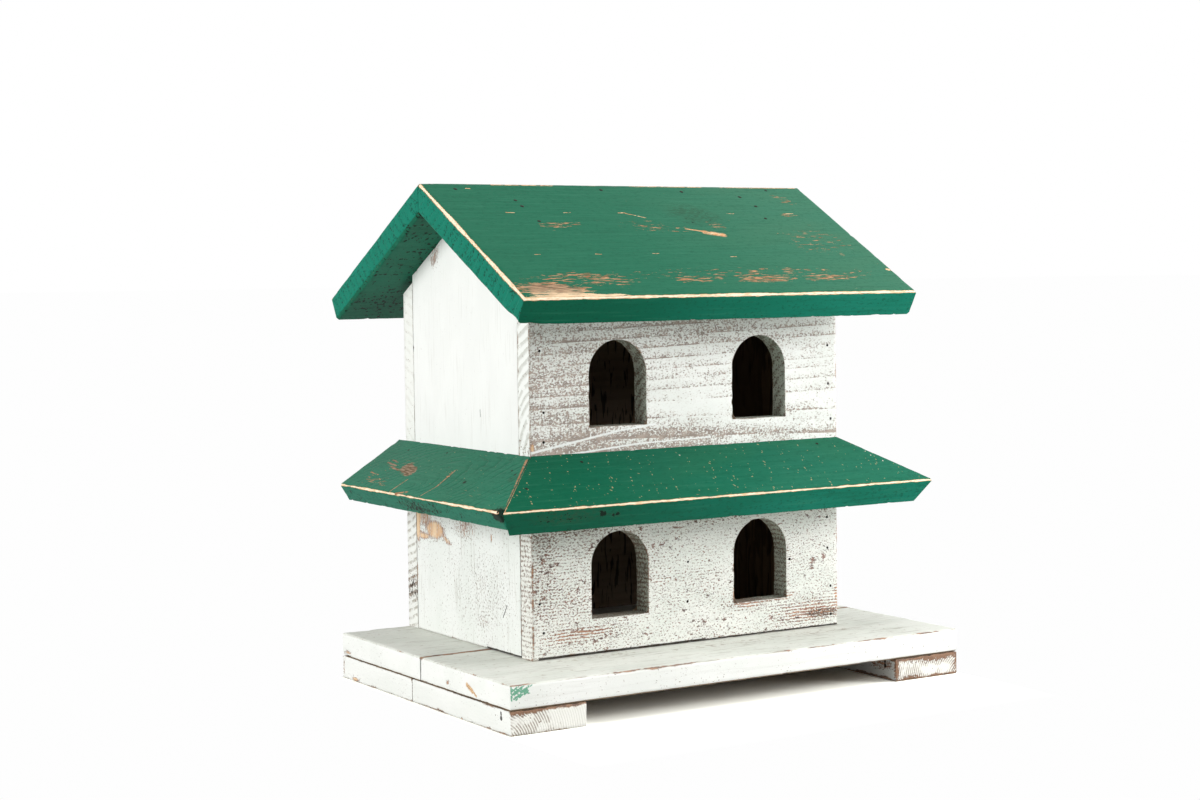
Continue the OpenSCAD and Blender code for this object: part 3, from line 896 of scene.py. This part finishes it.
Board("left_wall_upper", Z, -X, Y).build(
    skins(plain_face), rings(-30, 60, 9), seed=7,
    worn=((380, 57, 13, 13, 0.66), (373, 61, 10, 9, 0.66)),
)
Board("left_wall_lower", Z, -X, Y).build(
    skins(left_lower_face), rings(30, 70, 7), seed=8,
    worn=(
        (133, 66, 13, 26, 0.9), (142, 99, 34, 8, 0.98), (126, 88, 5, 20, 0.84), (145, 86, 17, 20, 0.76),
        (140, 8, 15, 34, 0.62), (126, 44, 4, 15, 0.8, -20), (92, 102, 14, 2.6, 0.9),
        (136, -38, 5, 1.6, 0.95), (90, -20, 60, 70, 0.25), (62, -20, 8, 16, 0.55),
    ),
    strips=((-X - Y, -0.1, 0.4),),
    dirt=((80, -40, 40, 40, 0.2),),
)
Board("right_wall_upper", Z, X, Y).build(
    skins(plain_face), rings(10, 55, 8), seed=9
)
Board("right_wall_lower", Z, X, Y).build(
    skins(plain_face), rings(60, 60, 8), seed=10,
    worn=((70, -60, 30, 40, 0.4), (60, 60, 24, 20, 0.6, 20)),
)
Board("upper_floor", X, Z, Y).build(
    skins(grey_wood, end_back, edges=base_edge), rings(0, 80, 7), seed=11, cell=16
)
Board("roof_front", X, UP_FRONT, -Y, sloping=True).build(
    green_skins(green_top), rings(-60, 40, 9), seed=12,
    worn=(
        (-170, 189, 43, 15, 0.72, 6, 5), (-144, 203, 60, 7, 1, 2, 1.6), (-130, 174, 66, 16, 0.4, 3, 5),
        (-22, 176, 34, 8, 0.45, 0, 9), (52, 177, 46, 10, 0.46, -1, 9), (112, 176, 46, 9, 0.45, 0, 9),
        (-105, 78, 30, 8, 0.38, -6, 9), (153, 57, 16, 5, 0.4, 0, 9), (40, 166, 200, 12, 0.28, 0, 9),
        (58, 78, 14, 9, 0.42, 40, 9), (165, 25, 14, 12, 0.4, 0, 9), (150, 110, 46, 34, 0.3, 0, 9),
        (0, 80, 60, 14, 0.3, 5, 9), (200, 165, 6, 44, 0.5, 0, 9),
    ),
    dirt=((46, 58, 36, 26, 0.35, 20, 9),),
    strips=((UP_FRONT - X, -0.2, 0.8), (UP_FRONT + X, -0.9, 0.7), (UP_FRONT - Y, -0.5, 0.35),
            (UP_BACK, -0.6, 0.8)),
    chips=((-205, 196, 26, 12, 1.6, 0, 4, 24), (-205, 0, 14, 1.6, 0.5)),
)
Board("roof_back", X, UP_BACK, Y, sloping=True).build(
    green_skins(green_back), rings(-60, 40, 9), seed=13,
    worn=((120, 196, 60, 14, 0.9, -5, 6), (-60, 176, 60, 10, 0.4, 0, 9), (40, 90, 20, 8, 0.36, 20, 9)),
    strips=((UP_BACK - X, -1.6, 0.6), (UP_BACK + X, -0.5, 0.6), (UP_BACK + Y, -0.4, 0.6)),
    chips=((-205, 0, 14, 1.6, 0.5),),
)
Board("skirt_front", X, UP_FRONT, -Y, sloping=True).build(
    green_skins(skirt_top), rings(-90, 60, 7), seed=14,
    strips=((UP_FRONT - Y, -0.6, 0.35),),
    worn=((-30, 66, 120, 5, 0.25, 0, 6), (-150, 62, 70, 12, 0.2, 0, 6), (-200, 66, 9, 5, 1, 0, 2, 3)),
    dirt=(
        (-128, 69, 6, 10, 0.95, 0, 3.6, 8), (-115, 70, 5, 10, 1.1, 0, 3.4, 10.5),
        (-160, 69, 44, 8, 0.4, 0, 10, 9),
    ),
)
Board("skirt_left", Y, UP_LEFT, -X, sloping=True).build(
    green_skins(skirt_left_top, green_edge_left), seed=15,
    ring=rings(52, -12, 7, lean=0.45, swell=0.5),
    strips=((UP_LEFT - X, -0.5, 0.5),),
    worn=(
        (80, 60, 34, 9, 0.36, 0, 6), (80, 36, 34, 18, 0.22, 0, 6), (-100, 60, 60, 10, 0.16, 0, 6),
        (-23, 36, 5, 9, 0.45, 0, 6),
    ),
    dirt=(
        (-157, 71, 13, 8, 1.25, 0, 8, 3), (-10, 69, 50, 8, 0.37, 0, 9, 10), (-60, 43.3, 3, 2.4, 1.4, 0, 4),
        (-122, 30, 6, 5, 0.7, 0, 5),
    ),
    chips=((-166, 72, 6, 6, 2.2),),
)
Board("skirt_right", Y, UP_RIGHT, X, sloping=True).build(
    green_skins(skirt_right_top), rings(-40, 40, 7), seed=16,
    strips=((UP_RIGHT + X, -0.5, 0.5),),
    worn=((-40, 55, 40, 9, 0.42, 0, 6),),
)
Board("base_plank_front", X, Z, Y).build(
    skins(base_top, base_end, grey_wood, base_edge_front), rings(-220, 70, 8), seed=17,
    strips=((Z - Y, -0.85, 0.9), (Z + Y, 0.9, 0.5), (Y - X, -1.2, 0.5), (-X - Z, -2, 1.2), (Z - X, -1.6, 1)),
    worn=(
        (-231, -81, 4, 5, 0.9, 0, 3, 14), (60, -130, 120, 8, 0.4, 0, 4), (-100, -118, 50, 8, 0.35, 0, 4),
    ),
    chips=((-231, -122, 6, 8, 1, 30, 6, 14), (-231, -40, 4, 8, 0.6, 0, 5, 19)),
    dirt=((0, -112, 170, 6, 0.25, 0, 4),),
)
Board("base_plank_back", X, Z, Y).build(
    skins(base_top, base_end, grey_wood, base_edge), rings(150, 60, 8), seed=18,
    strips=((Z + Y, -1, 0.9), (Z - Y, 0.9, 0.5), (-Y - X, -1.2, 0.5), (-X - Z, -1.5, 1.4), (Z - X, -1.6, 1)),
    worn=((-231, 112, 4, 10, 1, 0, 3, 17), (190, 20, 40, 30, 0.4, 0, 4)),
    chips=((-231, 112, 6, 12, 1.4, 0, 4, 19),),
)

# Extra bareness of the bevel under the front end, and of the arrises, with the wear of each kind
chipped_runner = dict(
    foot=0.7, rim=1.2,
    worn=(
        (-186, 19, 6, 6, 0.9, 0, 34, 25), (-186, 1, 6, 4, 0.8, 0, 16, 52), (-186, 10, 6, 14, 0.8, 0, 4, 69),
        (-186, 10, 6, 14, 0.6, 0, 5, 2), (-165, 14, 22, 8, 0.72, 0, 5, 70),
    ),
)
whole_runner = dict(
    foot=-0.4, rim=-1.5,
    worn=(
        (96, 2, 11, 2.4, 1, 0, 4), (60, 1, 5, 1.6, 0.9, 0, 4), (-62, 1.6, 3.4, 1.8, 0.95, 0, 4),
        (-104, 1, 4, 1.6, 0.9, 0, 4), (-150, 1, 6, 1.4, 0.9, 0, 4), (119, 10, 2, 12, 0.8, 0, 4),
        (-186, 21, 4, 6, 0.95, 0, 34, 10), (-186, 8, 6, 20, -0.7, 0, 26, 58),
    ),
)
for seed, (side, end) in enumerate(itertools.product(("left", "right"), ("front", "back")), start=20):
    out = X if side == "right" else -X
    kind = chipped_runner if (side, end) == ("right", "front") else whole_runner
    Board(f"runner_{side}_{end}", Y, out, Z).build(
        skins(runner_face, runner_end, runner_face), rings(-7, 10, 2.2), seed=seed, cell=8,
        strips=((out - Z, -0.3, 1.2), (Z - Y, 1.8, 0.8), (-Z - Y, kind["foot"], 1)),
        rim=kind["rim"], worn=kind["worn"],
    )

heads("front_wall_upper", "wall_upper_nails", dark_steel, (
    (-152.4, 297), (-149.2, 245.9), (-149.6, 221.3), (147.1, 293.3), (147.7, 258.9), (150.4, 227.2),
))
heads("front_wall_lower", "wall_lower_nails", dark_steel, (
    (-152, 62.2), (-155.5, 86.8), (145.5, 138.3), (145.8, 110.4), (149.1, 75.6), (149.1, 49.9),
    (-7.3, 75.6), (-6.4, 110.1), (103.1, 103.6),
))
heads("roof_front", "roof_nails", dark_steel, (
    (-172.8, 10.1), (-124.2, 31.1), (-123.3, 42.1), (-120.8, 70), (-24.9, 8.9), (60.6, 10.8),
    (119.8, 20.5), (159, 6.2), (126.2, 39.3), (121.4, 63.7),
), radius=1.8, proud=0.2)
heads("skirt_front", "skirt_front_nails", dark_steel, (
    (-119.1, 12), (-187.2, 42.6), (129.4, 8.2),
), radius=1.5)
heads("skirt_front", "skirt_front_filled", filled_white, (
    (-20.8, 11.8), (173.6, 24.1), (175.4, 30.3), (182.8, 39.8),
), radius=0.7)
heads("skirt_left", "skirt_left_nails", dark_steel, (
    (93.3, 13), (24.8, 9.6), (-59.6, 43.3), (-106.5, 20.5), (-117.9, 24.7),
))

# ---- stage, lamps and camera

REACH = 60  # half the side of the floor, metres
AMBIENT = 0.4  # light of the surroundings, which the camera sees as white
PAPER_LIGHT, PAPER_SEEN = (0.55, 0.55, 0.53, 1), (1.5, 1.51, 1.4, 1)  # for bounced light, and as seen
SHADOW = (0.012, 0.13)  # metres from the base over which its shadow fades into white
ASIDE = 30  # how many times sooner it fades beside and behind the house than before it
WHITE = (1, 1, 1, 1)


def seen_ray(s):
    """1 for camera, glossy and transmission rays"""
    path = s.node("LightPath").outputs
    return s.most(path["Is Camera Ray"], path["Is Glossy Ray"], path["Is Transmission Ray"])


def floor_paper():
    """White paper where the house leaves it in the light: only its shadow close by shows"""
    paper = bpy.data.materials.new("floor_paper")
    paper.use_nodes = True
    s = Nodes(paper.node_tree)
    seen = seen_ray(s)
    matt = s.node("BsdfDiffuse", s.mix(seen, PAPER_LIGHT, PAPER_SEEN))
    glow = s.node("Emission", WHITE, 0.99)
    (left, front, _), (right, back, _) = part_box("base_plank_front")[0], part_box("base_plank_back")[1]
    low, high = Vector((left, front, 0)), Vector((right, back, 0))
    place = s.node("NewGeometry").outputs["Position"]
    outside = s.vector("MAXIMUM", s.vector("SUBTRACT", place, high), s.vector("SUBTRACT", low, place))
    outside = s.vector("MAXIMUM", outside, (0, 0, 0))
    depth = s.node("SeparateXYZ", place).outputs["Y"]
    behind = s.node("MapRange", depth, high.y - 0.001, high.y, 1, ASIDE).outputs[0]
    outside = s.vector("MULTIPLY", outside, s.node("CombineXYZ", ASIDE, behind, 1).outputs[0])
    fade = s.smooth(s.vector("LENGTH", outside), *SHADOW)
    blend = s.node("MixShader", s.times(fade, seen), matt.outputs[0], glow.outputs[0])
    s.node("OutputMaterial", blend.outputs[0])
    return paper


def studio_world():
    world = bpy.data.worlds.new("studio")
    world.use_nodes = True
    s = Nodes(world.node_tree)
    level = s.node("MapRange", seen_ray(s), 0, 1, AMBIENT, 1)
    s.node("OutputWorld", s.node("Background", WHITE, level.outputs[0]).outputs[0])
    return world


def softbox(name, place, size, level, aim=(0, 0, 0.2)):
    """Area lamp whose light on a facing surface at the aim is level"""
    lamp = bpy.data.lights.new(name, "AREA")
    lamp.shape = "DISK"
    lamp.size = size
    place, aim = Vector(place), Vector(aim)
    lamp.energy = math.pi**2 * (aim - place).length_squared * level
    holder = new_object(name, lamp)
    holder.location = place
    holder.rotation_euler = (aim - place).to_track_quat("-Z", "Y").to_euler()
    holder.visible_camera = False


floor_mesh = bpy.data.meshes.new("floor")
corners = [(REACH * x, REACH * y, 0) for x, y in ((-1, -1), (1, -1), (1, 1), (-1, 1))]
floor_mesh.from_pydata(corners, [], [(0, 1, 2, 3)])
floor_mesh.materials.append(floor_paper())
new_object("floor", floor_mesh)
scene.world = studio_world()
softbox("left_lamp", (-1.9, 0.1, 0.6), 1, 0.645)
softbox("right_lamp", (1.3, -0.9, 0.5), 0.8, 1.03, aim=(0.1, -0.1, 0.2))
softbox("front_lamp", (0.2, -1.9, 1.2), 1, 0.2, aim=(0, -0.1, 0.2))
softbox("top_lamp", (0.1, -0.7, 1.9), 1.2, 0.32)

CAMERA_PLACE = Vector((-1.04554, -1.63645, 0.36218))
YAW, PITCH, ROLL = 31.88, -3.39, -0.73  # degrees to the right of +Y, up, and anticlockwise
lens = bpy.data.cameras.new("camera")
lens.lens = 64.41
lens.sensor_width = 36
camera = new_object("camera", lens)
camera.matrix_world = Matrix.Translation(CAMERA_PLACE)
for angle, axis in ((-YAW, "Z"), (90 + PITCH, "X"), (ROLL, "Z")):
    camera.matrix_world @= Matrix.Rotation(math.radians(angle), 4, axis)
scene.camera = camera
scene.view_settings.view_transform = "Standard"
